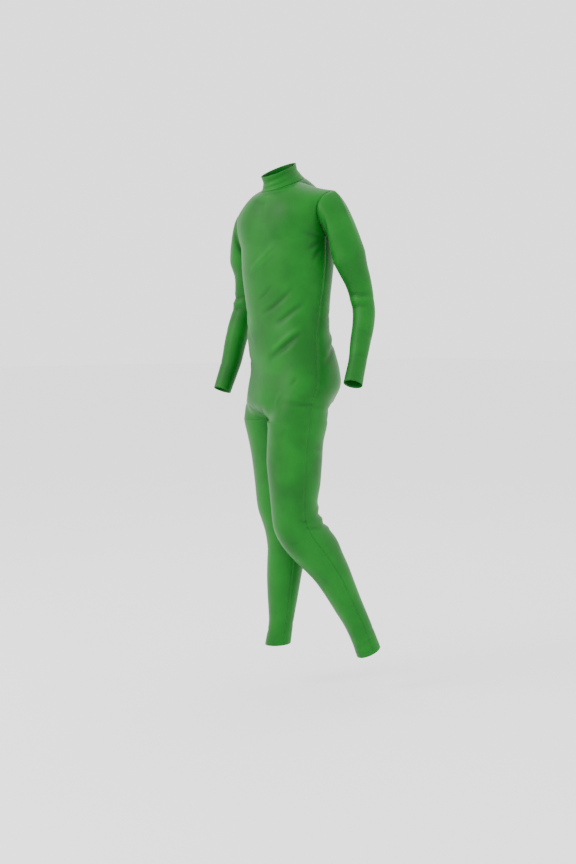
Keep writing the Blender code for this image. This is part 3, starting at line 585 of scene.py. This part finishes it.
def make_cloth():
    """All cloth panels as grids of shared points, and grids to look up places on."""
    cloth = Cloth()
    grids = {}
    torso = {side: np.concatenate((leg_rows(side)[::-1], torso_rows(side)[1:])) for side in (1, -1)}
    leg_count = ARCH_ROWS + LEG_ROWS - 1
    n = FRONT_COLUMNS
    crotch = turned((0, CROTCH_BACK, CROTCH_HEIGHT - ORIGIN_HEIGHT), PELVIS_TURN)
    for side in (1, -1):
        torso[side][leg_count, [0, -1]] = crotch
    cloth.set_normals[cloth.point_id(crotch)] = (0, 0, -1)
    for column in (0, -1):
        centre = (torso[1][leg_count:, column] + torso[-1][leg_count:, column]) / 2
        torso[1][leg_count:, column] = centre
        torso[-1][leg_count:, column] = centre
    for side, word in ((1, "left"), (-1, "right")):
        grid = torso[side]
        flip = side < 0
        front = yoke_rows(side, -1, grid[-1, :n + 1])
        back = yoke_rows(side, 1, grid[-1, n:][::-1])
        cloth.add("front", grid[:, :n + 1], flip)
        cloth.add("back_" + word, grid[:, n:], flip)
        cloth.add("front", front, flip)
        cloth.add("back_" + word, back, not flip)
        cloth.set_normals[cloth.point_id(front[0, -1])] = turned(UNDERARM_OUT * np.array((side, 1, 1)), CHEST_TURN)
        armhole = list(front[:, -1]) + list(back[:-1, -1][::-1])
        rings = arm_rings(side, np.array(armhole[:-1] if len(armhole) % 2 else armhole))
        cloth.add("sleeve_" + word, np.concatenate((rings, rings[:, :1]), axis=1), not flip)
        table = LEFT_LEG if side > 0 else RIGHT_LEG
        levels = leg_heights(table)[::-1] + torso_heights()[1:]
        levels += list(np.linspace(UNDERARM_HEIGHT, NECK_HEIGHT, YOKE_ROWS + 1))[1:]
        whole = np.concatenate((grid, np.concatenate((front, back[:, ::-1][:, 1:]), axis=1)[1:]))
        grids[side] = (np.array(levels), whole)
        grids["sleeve_" + word] = (np.linspace(0, 1, len(rings)), rings)
    collar = collar_rows()
    cloth.add("collar", collar, True, slit=True)
    grids["collar"] = (np.linspace(0, 1, len(collar)), collar)
    line = [(row[0], row[1], row[-2]) for row in collar[::-1]]
    backs = [grids[side][1][grids[side][0] > CROTCH_HEIGHT + CROTCH_RISE][::-1] for side in (1, -1)]
    line += [(left[-1], left[-2], right[-2]) for left, right in zip(*backs)][1:]
    return cloth, grids, np.array([[cloth.point_id(point) for point in row] for row in line])


def spot(grid, across, level):
    """The point of a look-up grid at a share of its columns and a level of its rows."""
    levels, points = grid
    row = float(np.interp(level, levels, np.arange(len(levels))))
    column = across * (points.shape[1] - 1)
    i, j = min(int(row), len(levels) - 2), min(int(column), points.shape[1] - 2)
    a, b = row - i, column - j
    low = points[i, j] * (1 - b) + points[i, j + 1] * b
    high = points[i + 1, j] * (1 - b) + points[i + 1, j + 1] * b
    return low * (1 - a) + high * a


def crease_offsets(points, grids, strength):
    """How far every point of the cloth moves out or in for all the creases."""
    offsets = np.zeros(len(points))
    for where, across_a, level_a, across_b, level_b, bow, width, depth in CREASES:
        route = []
        for share in np.linspace(0, 1, ROUTE_POINTS):
            across = across_a + (across_b - across_a) * share
            level = level_a + (level_b - level_a) * share + bow * math.sin(math.pi * share)
            grid = grids[where if where != "body" else (1 if across >= 0 else -1)]
            if where == "body":
                across = abs(across)
            elif where in ("collar", "sleeve_left", "sleeve_right"):
                across %= 1.0
            route.append(spot(grid, across, level))
        route = np.array(route)
        near = np.where((np.abs(points - route.mean(axis=0)) < np.ptp(route, axis=0) / 2 + 3.5 * width).all(axis=1))[0]
        if not len(near):
            continue
        steps = np.diff(route, axis=0)
        best = np.full(len(near), np.inf)
        along = np.zeros(len(near))
        for k, step in enumerate(steps):
            away = points[near] - route[k]
            t = np.clip(away @ step / max(float(step @ step), 1e-12), 0, 1)
            gap = np.linalg.norm(away - t[:, None] * step, axis=1)
            closer = gap < best
            best[closer] = gap[closer]
            along[closer] = (k + t[closer]) / len(steps)
        reach = best / width
        fade = np.sin(math.pi * np.clip(0.06 + 0.88 * along, 0, 1)) ** 0.8
        offsets[near] += depth * strength * fade * (1 - 0.55 * reach ** 2) * np.exp(-reach ** 2)
    return offsets


def seam_offsets(cloth):
    """A shallow groove where panels are sewn together."""
    owners = [set() for _ in cloth.points]
    for name, faces in cloth.panels.items():
        for face in faces:
            for i in face:
                owners[cloth.twins.get(i, i)].add(name)
    return np.array([-SEAM_DEPTH if len(names) > 1 else 0.0 for names in owners])


def linear(hex_colour):
    """A colour as shown on screen, written as hex digits, turned into linear values."""
    result = []
    for i in (1, 3, 5):
        value = int(hex_colour[i:i + 2], 16) / 255
        result.append(value / 12.92 if value <= 0.04045 else ((value + 0.055) / 1.055) ** 2.4)
    return (*result, 1.0)


def add_node(tree, kind, inputs=None, **settings):
    """Add a shader node, link or set its inputs, and set its properties."""
    node = tree.nodes.new(kind)
    for key, value in settings.items():
        setattr(node, key, value)
    for key, value in (inputs or {}).items():
        if isinstance(value, bpy.types.NodeSocket):
            tree.links.new(value, node.inputs[key])
        else:
            node.inputs[key].default_value = value
    return node


def new_material(name, roughness, metallic=0.0):
    """A material with one principled shader."""
    finish = bpy.data.materials.new(name)
    finish.use_nodes = True
    shader = finish.node_tree.nodes["Principled BSDF"]
    shader.inputs["Roughness"].default_value = roughness
    shader.inputs["Metallic"].default_value = metallic
    return finish, finish.node_tree, shader


def stretch_knit(name, colours, roughness):
    """Satin stretch knit: fine ribs of loops, uneven dye, painted shade in crease valleys and painted highlight on
    ridges, and a soft sheen.
    """
    finish, tree, shader = new_material(name, roughness)
    uv = add_node(tree, "ShaderNodeUVMap", uv_map="cloth").outputs["UV"]
    place = add_node(tree, "ShaderNodeTexCoord").outputs["Object"]
    # broad unevenness of the dye, so that no panel is one flat green
    dye = add_node(tree, "ShaderNodeTexNoise", {"Vector": place, "Scale": 9.0, "Detail": 3.0}).outputs["Fac"]
    dye = add_node(tree, "ShaderNodeMapRange", {0: dye, 1: 0.35, 2: 0.65}).outputs[0]
    body = add_node(tree, "ShaderNodeMix", {"Factor": dye, 6: linear(colours.shade), 7: linear(colours.light)},
                    data_type="RGBA").outputs[2]
    # the loops of the knit, about 0.8 mm wide and 0.6 mm high, drawn from the cloth's own millimetres
    ribs = add_node(tree, "ShaderNodeTexWave", {"Vector": uv, "Scale": 1 / 0.0008 / 20, "Distortion": 0.3},
                    wave_type="BANDS", bands_direction="X").outputs["Fac"]
    courses = add_node(tree, "ShaderNodeTexWave", {"Vector": uv, "Scale": 1 / 0.0006 / 20, "Distortion": 0.3},
                       wave_type="BANDS", bands_direction="Y").outputs["Fac"]
    loops = add_node(tree, "ShaderNodeMath", {0: ribs, 1: courses}, operation="MULTIPLY").outputs[0]
    # painted shade and painted highlight: creased valleys are painted a little darker and raised ridges a little paler
    painted_crease_light_and_shade = add_node(tree, "ShaderNodeAttribute", attribute_name="painted_crease_light_and_shade").outputs["Fac"]
    painted_light_tone = add_node(tree, "ShaderNodeMapRange", {0: painted_crease_light_and_shade, 1: -1.0, 2: 1.0, 3: 0.66, 4: 1.22}).outputs[0]
    shaded = add_node(tree, "ShaderNodeVectorMath", {0: body, "Scale": painted_light_tone}, operation="SCALE").outputs[0]
    tree.links.new(shaded, shader.inputs["Base Color"])
    bump = add_node(tree, "ShaderNodeBump", {"Height": loops, "Strength": 0.25, "Distance": 0.0002})
    tree.links.new(bump.outputs["Normal"], shader.inputs["Normal"])
    shader.inputs["Sheen Weight"].default_value = 0.07
    shader.inputs["Sheen Roughness"].default_value = 0.45
    shader.inputs["Sheen Tint"].default_value = linear("#b8e8c0")
    shader.inputs["Specular IOR Level"].default_value = 0.18
    return finish


def speckled(name, colour, darker, scale, roughness, metallic=0.0):
    """A small hard or woven surface: two close tones broken up by fine noise, worn unevenly."""
    finish, tree, shader = new_material(name, roughness, metallic)
    place = add_node(tree, "ShaderNodeTexCoord").outputs["Object"]
    noise = add_node(tree, "ShaderNodeTexNoise", {"Vector": place, "Scale": scale, "Detail": 2.0}).outputs["Fac"]
    mixed = add_node(tree, "ShaderNodeMix", {"Factor": noise, 6: linear(darker), 7: linear(colour)},
                     data_type="RGBA").outputs[2]
    tree.links.new(mixed, shader.inputs["Base Color"])
    bump = add_node(tree, "ShaderNodeBump", {"Height": noise, "Strength": 0.15, "Distance": 0.0002})
    tree.links.new(bump.outputs["Normal"], shader.inputs["Normal"])
    return finish


def new_object(name, points, faces, finish):
    """An object at the origin from points and faces, smoothly shaded."""
    mesh = bpy.data.meshes.new(name)
    mesh.from_pydata([tuple(point) for point in points], [], faces)
    mesh.materials.append(finish)
    thing = bpy.data.objects.new(name, mesh)
    bpy.context.scene.collection.objects.link(thing)
    bpy.ops.object.select_all(action="DESELECT")
    thing.select_set(True)
    bpy.context.view_layer.objects.active = thing
    bpy.ops.object.shade_smooth()
    return thing


def copies(name, seed, places, finish):
    """One object made of a small shape repeated at many places, and the shape then removed."""
    corners = np.array([vertex.co for vertex in seed.data.vertices])
    sides = [tuple(polygon.vertices) for polygon in seed.data.polygons]
    points, faces = [], []
    for centre, along, out in places:
        across = np.cross(along, out)
        start = len(points)
        points += list(centre + corners[:, :1] * along + corners[:, 1:2] * across + corners[:, 2:] * out)
        faces += [tuple(start + i for i in side) for side in sides]
    bpy.data.objects.remove(seed)
    return new_object(name, points, faces, finish)


def small_ball(length, width, height):
    """A rounded stitch or bead, lying along X."""
    bpy.ops.object.select_all(action="DESELECT")
    bpy.ops.mesh.primitive_uv_sphere_add(segments=6, ring_count=5, radius=0.5)
    ball = bpy.context.active_object
    ball.data.transform(Matrix.Diagonal((length, width, height, 1)))
    return ball


def along_line(points, outs, pitch):
    """Evenly spaced places along a line of points: where, which way the line runs and which way is out."""
    steps = np.linalg.norm(np.diff(points, axis=0), axis=1)
    lengths = np.concatenate(((0.0,), np.cumsum(steps)))
    stops = np.arange(pitch / 2, lengths[-1], pitch)
    centres = np.stack([np.interp(stops, lengths, points[:, k]) for k in range(3)], axis=1)
    normals = np.stack([np.interp(stops, lengths, outs[:, k]) for k in range(3)], axis=1)
    normals /= np.linalg.norm(normals, axis=1)[:, None]
    runs = np.stack([np.interp(stops + pitch / 4, lengths, points[:, k])
                     - np.interp(stops - pitch / 4, lengths, points[:, k]) for k in range(3)], axis=1)
    runs -= normals * (runs * normals).sum(axis=1)[:, None]
    runs /= np.linalg.norm(runs, axis=1)[:, None]
    return list(zip(centres, runs, normals))


CLOTH = {}


def shaped_cloth(sizes):
    """The cloth's points with creases and seams, made once and kept for all the operators."""
    if not CLOTH:
        cloth, grids, line = make_cloth()
        points = np.array(cloth.points)
        normals = cloth.normals()
        creases = crease_offsets(points, grids, sizes.crease_strength)
        points = points + normals * (creases + seam_offsets(cloth))[:, None]
        # the crease depths, scaled to -1..1, drive the painted shade in valleys and the painted highlight on ridges
        CLOTH.update(cloth=cloth, grids=grids, line=line, points=points, normals=normals,
                     creases=np.clip(creases / CREASE_DEPTH_FOR_PAINTED_LIGHT, -1, 1))
    return CLOTH




class UnitardSizes(bpy.types.PropertyGroup):
    """Sizes that a user would change."""

    wall: bpy.props.FloatProperty(name="Cloth thickness", description="Thickness of the knit as drawn",
                                  default=0.0012, min=0.0005, max=0.003, unit="LENGTH", precision=4)
    crease_strength: bpy.props.FloatProperty(name="Crease strength", description="Depth of all creases",
                                             default=1.25, min=0.0, max=2.0)
    stitch_pitch: bpy.props.FloatProperty(name="Stitch spacing", description="Distance between stitches",
                                          default=0.0030, min=0.001, max=0.01, unit="LENGTH", precision=4)
    hem_width: bpy.props.FloatProperty(name="Hem width", description="Distance of the stitching from an edge",
                                       default=0.016, min=0.004, max=0.04, unit="LENGTH", precision=4)
    tooth_pitch: bpy.props.FloatProperty(name="Zip tooth spacing", description="Distance between zip teeth",
                                         default=0.0016, min=0.001, max=0.004, unit="LENGTH", precision=4)


class UnitardColours(bpy.types.PropertyGroup):
    """Colours that a user would change, as hex digits."""

    light: bpy.props.StringProperty(name="Cloth", description="The cloth's lighter green", default="#026410")
    shade: bpy.props.StringProperty(name="Cloth, deeper", description="The cloth's deeper green",
                                    default="#02520b")
    thread: bpy.props.StringProperty(name="Thread", description="The sewing thread", default="#02500b")
    zip: bpy.props.StringProperty(name="Zip", description="Zip tape, teeth and slider", default="#02500b")


# panel, flat width and length in metres, flat area in square metres, plain name
SHEETS = (
    ("front", (0.62, 1.47), 0.572, "front_panel"),
    ("back_left", (0.36, 1.47), 0.296, "left_back_panel"),
    ("back_right", (0.36, 1.47), 0.287, "right_back_panel"),
    ("sleeve_left", (0.34, 0.62), 0.121, "left_sleeve_cloth"),
    ("sleeve_right", (0.34, 0.62), 0.124, "right_sleeve_cloth"),
    ("collar", (0.36, 0.055), 0.0175, "stand_collar"),
)


class UNITARD_OT_cloth(bpy.types.Operator):
    """Make the six pieces of stretch cloth with their creases"""

    bl_idname = "unitard.cloth"
    bl_label = "Cloth"

    def execute(self, context):
        sizes = context.scene.unitard_sizes
        made = shaped_cloth(sizes)
        finish = stretch_knit("Green satin stretch knit", context.scene.unitard_colours, 0.5)
        for panel, flat, area, plain in SHEETS:
            faces = made["cloth"].panels[panel]
            used = sorted({i for face in faces for i in face})
            number = {i: n for n, i in enumerate(used)}
            sides = [tuple(number[i] for i in face) for face in faces]
            piece = new_object(plain, made["points"][used], sides, finish)
            # crease depths stored on the points, for the material's painted shade in valleys and painted highlight on
            # ridges
            painted_light_tone = piece.data.attributes.new("painted_crease_light_and_shade", "FLOAT", "POINT")
            painted_light_tone.data.foreach_set("value", made["creases"][used])
            layer = piece.data.uv_layers.new(name="cloth")
            places = made["cloth"].flat[panel]
            corners = np.array([places[used[loop.vertex_index]] for loop in piece.data.loops])
            layer.data.foreach_set("uv", corners.ravel())
            thick = piece.modifiers.new("thickness", "SOLIDIFY")
            thick.thickness = sizes.wall
            thick.offset = -1
            bpy.ops.object.modifier_apply(modifier="thickness")
            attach(piece, "garment")
            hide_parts(panel)
        return {"FINISHED"}


def seam_rows(made, sizes):
    """The rows to stitch along: a name, a grid that starts at the edge, and the row to stitch on."""
    grids, cloth = made["grids"], made["cloth"]
    lines = []
    for side, word in ((1, "left"), (-1, "right")):
        levels, whole = grids[side]
        step = float(np.linalg.norm(whole[1, FRONT_COLUMNS] - whole[0, FRONT_COLUMNS]))
        lines.append((word + "_leg_hem", whole, round(sizes.hem_width / step)))
        rings = grids["sleeve_" + word][1]
        step = float(np.linalg.norm(rings[-1, 0] - rings[-2, 0]))
        lines.append((word + "_cuff_hem", np.concatenate((rings, rings[:, :1]), axis=1)[::-1],
                      round(sizes.hem_width / step)))
    lines.append(("collar_edge", grids["collar"][1][::-1], COLLAR_STITCH_ROW))
    return lines, cloth


class UNITARD_OT_stitching(bpy.types.Operator):
    """Sew two rows of stitches round each hem, cuff and the collar's top edge"""

    bl_idname = "unitard.stitching"
    bl_label = "Stitching"

    def execute(self, context):
        sizes = context.scene.unitard_sizes
        made = shaped_cloth(sizes)
        lines, cloth = seam_rows(made, sizes)
        finish = speckled("Green sewing thread", context.scene.unitard_colours.thread, "#014208", 900, 0.6)
        for name, grid, row in lines:
            places = []
            for offset in (0.0, STITCH_ROWS_APART):
                low, high = grid[row], grid[row + 1]
                ids_low = [cloth.point_id(point) for point in low]
                ids_high = [cloth.point_id(point) for point in high]
                share = offset / float(np.linalg.norm(high - low, axis=1).mean())
                points = made["points"][ids_low] * (1 - share) + made["points"][ids_high] * share
                outs = made["normals"][ids_low]
                places += along_line(points + outs * 0.0001, outs, sizes.stitch_pitch)
            seed = small_ball(sizes.stitch_pitch * 0.72, 0.0006, 0.0005)
            piece = copies(name + "_stitches", seed, places, finish)
            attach(piece, "garment")
        return {"FINISHED"}


class UNITARD_OT_zip(bpy.types.Operator):
    """Add the teeth of the back zip and finish its tape, slider and pull tab"""

    bl_idname = "unitard.zip"
    bl_label = "Back zip"

    def execute(self, context):
        sizes, colours = context.scene.unitard_sizes, context.scene.unitard_colours
        made = shaped_cloth(sizes)
        stops = np.linspace(ZIP_BELOW_TOP, ZIP_LENGTH, 200)
        rows = zip_rows(made["cloth"], made["line"], stops)[0]
        middle = np.array([place[0] for place, _ in rows])
        outs = np.array([out[0] for _, out in rows])
        places = along_line(middle + outs * TOOTH_LIFT, outs, sizes.tooth_pitch)
        staggered = []
        for k, (centre, along, out) in enumerate(places):
            across = np.cross(along, out)
            staggered.append((centre + across * TOOTH_ASIDE * (1 if k % 2 else -1), along, out))
        bpy.ops.object.select_all(action="DESELECT")
        bpy.ops.mesh.primitive_cube_add(size=1)
        tooth = context.active_object
        tooth.data.transform(Matrix.Diagonal((0.0009, 0.0024, 0.0005, 1)))
        edge = tooth.modifiers.new("edge", "BEVEL")
        edge.width = 0.00015
        edge.segments = 1
        bpy.ops.object.modifier_apply(modifier="edge")
        coil = speckled("Green moulded nylon", colours.zip, "#013d07", 700, 0.38)
        teeth = copies("zip_teeth", tooth, staggered, coil)
        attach(teeth, "garment")
        tape = speckled("Green woven tape", colours.zip, "#014208", 1500, 0.85)
        metal = speckled("Green enamelled metal", colours.zip, "#014208", 300, 0.32, 0.35)
        for node, finish in (("zip_chain", coil), ("zip_tape", tape), ("zip_slider", metal), ("zip_tab", metal)):
            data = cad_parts[node].data
            data.materials.clear()
            data.materials.append(finish)
        return {"FINISHED"}


class UNITARD_OT_stage(bpy.types.Operator):
    """Lay the floor and set the lights and the camera"""

    bl_idname = "unitard.stage"
    bl_label = "Floor, lights and camera"

    def execute(self, context):
        paper, tree, shader = new_material("Pale studio floor", 0.9)
        place = add_node(tree, "ShaderNodeTexCoord").outputs["Object"]
        noise = add_node(tree, "ShaderNodeTexNoise", {"Vector": place, "Scale": 2.0}).outputs["Fac"]
        mixed = add_node(tree, "ShaderNodeMix", {"Factor": noise, 6: linear("#f6f6f6"), 7: linear("#fafafa")},
                         data_type="RGBA").outputs[2]
        tree.links.new(mixed, shader.inputs["Base Color"])
        bpy.ops.object.select_all(action="DESELECT")
        bpy.ops.mesh.primitive_plane_add(size=1)
        floor = context.active_object
        floor.name = "floor"
        floor.data.transform(Matrix.Translation((0, 0, -ORIGIN_HEIGHT)) @ Matrix.Scale(60, 4))
        floor.data.materials.append(paper)
        turn = math.radians(CAMERA_TURN)
        tilt = math.radians(CAMERA_TILT)
        lens = bpy.data.cameras.new("camera")
        lens.lens = CAMERA_LENS
        lens.sensor_fit = "HORIZONTAL"
        camera = bpy.data.objects.new("camera", lens)
        camera.location = (math.sin(turn) * CAMERA_DISTANCE, -math.cos(turn) * CAMERA_DISTANCE, CAMERA_LEVEL)
        camera.rotation_euler = (math.pi / 2 - tilt, 0, turn)
        context.scene.collection.objects.link(camera)
        context.scene.camera = camera
        for name, azimuth, height, distance, size, power in LIGHTS:
            angle = math.radians(CAMERA_TURN + azimuth)
            light = bpy.data.lights.new(name, "AREA")
            light.size = size
            light.energy = power
            lamp = bpy.data.objects.new(name, light)
            lamp.location = (math.sin(angle) * distance, -math.cos(angle) * distance, height)
            aim = Vector((0, 0, LIGHT_AIM)) - lamp.location
            lamp.rotation_euler = aim.to_track_quat("-Z", "Y").to_euler()
            context.scene.collection.objects.link(lamp)
        world = bpy.data.worlds.new("studio")
        world.use_nodes = True
        backdrop = world.node_tree.nodes["Background"]
        backdrop.inputs["Color"].default_value = (1, 1, 1, 1)
        backdrop.inputs["Strength"].default_value = WORLD_STRENGTH
        context.scene.world = world
        return {"FINISHED"}


class UNITARD_PT_panel(bpy.types.Panel):
    """The unitard's sizes, colours and steps"""

    bl_label = "Dance unitard"
    bl_idname = "UNITARD_PT_panel"
    bl_space_type = "VIEW_3D"
    bl_region_type = "UI"
    bl_category = "Unitard"

    def draw(self, context):
        for name, settings in (("Sizes", context.scene.unitard_sizes), ("Colours", context.scene.unitard_colours)):
            box = self.layout.box()
            box.label(text=name)
            for key in settings.bl_rna.properties.keys():
                if key not in ("rna_type", "name"):
                    box.prop(settings, key)
        for operator in OPERATORS:
            self.layout.operator(operator.bl_idname)


OPERATORS = (UNITARD_OT_cloth, UNITARD_OT_stitching, UNITARD_OT_zip, UNITARD_OT_stage)
CLASSES = (UnitardSizes, UnitardColours, *OPERATORS, UNITARD_PT_panel)


def register():
    """Make the sizes, colours, operators and panel known to Blender."""
    for each in CLASSES:
        bpy.utils.register_class(each)
    bpy.types.Scene.unitard_sizes = bpy.props.PointerProperty(type=UnitardSizes)
    bpy.types.Scene.unitard_colours = bpy.props.PointerProperty(type=UnitardColours)


def unregister():
    """Take them away again."""
    del bpy.types.Scene.unitard_sizes
    del bpy.types.Scene.unitard_colours
    for each in reversed(CLASSES):
        bpy.utils.unregister_class(each)


def main():
    """Run every step in order."""
    register()
    for operator in OPERATORS:
        group, name = operator.bl_idname.split(".")
        getattr(getattr(bpy.ops, group), name)()


if __name__ == "__main__":
    main()
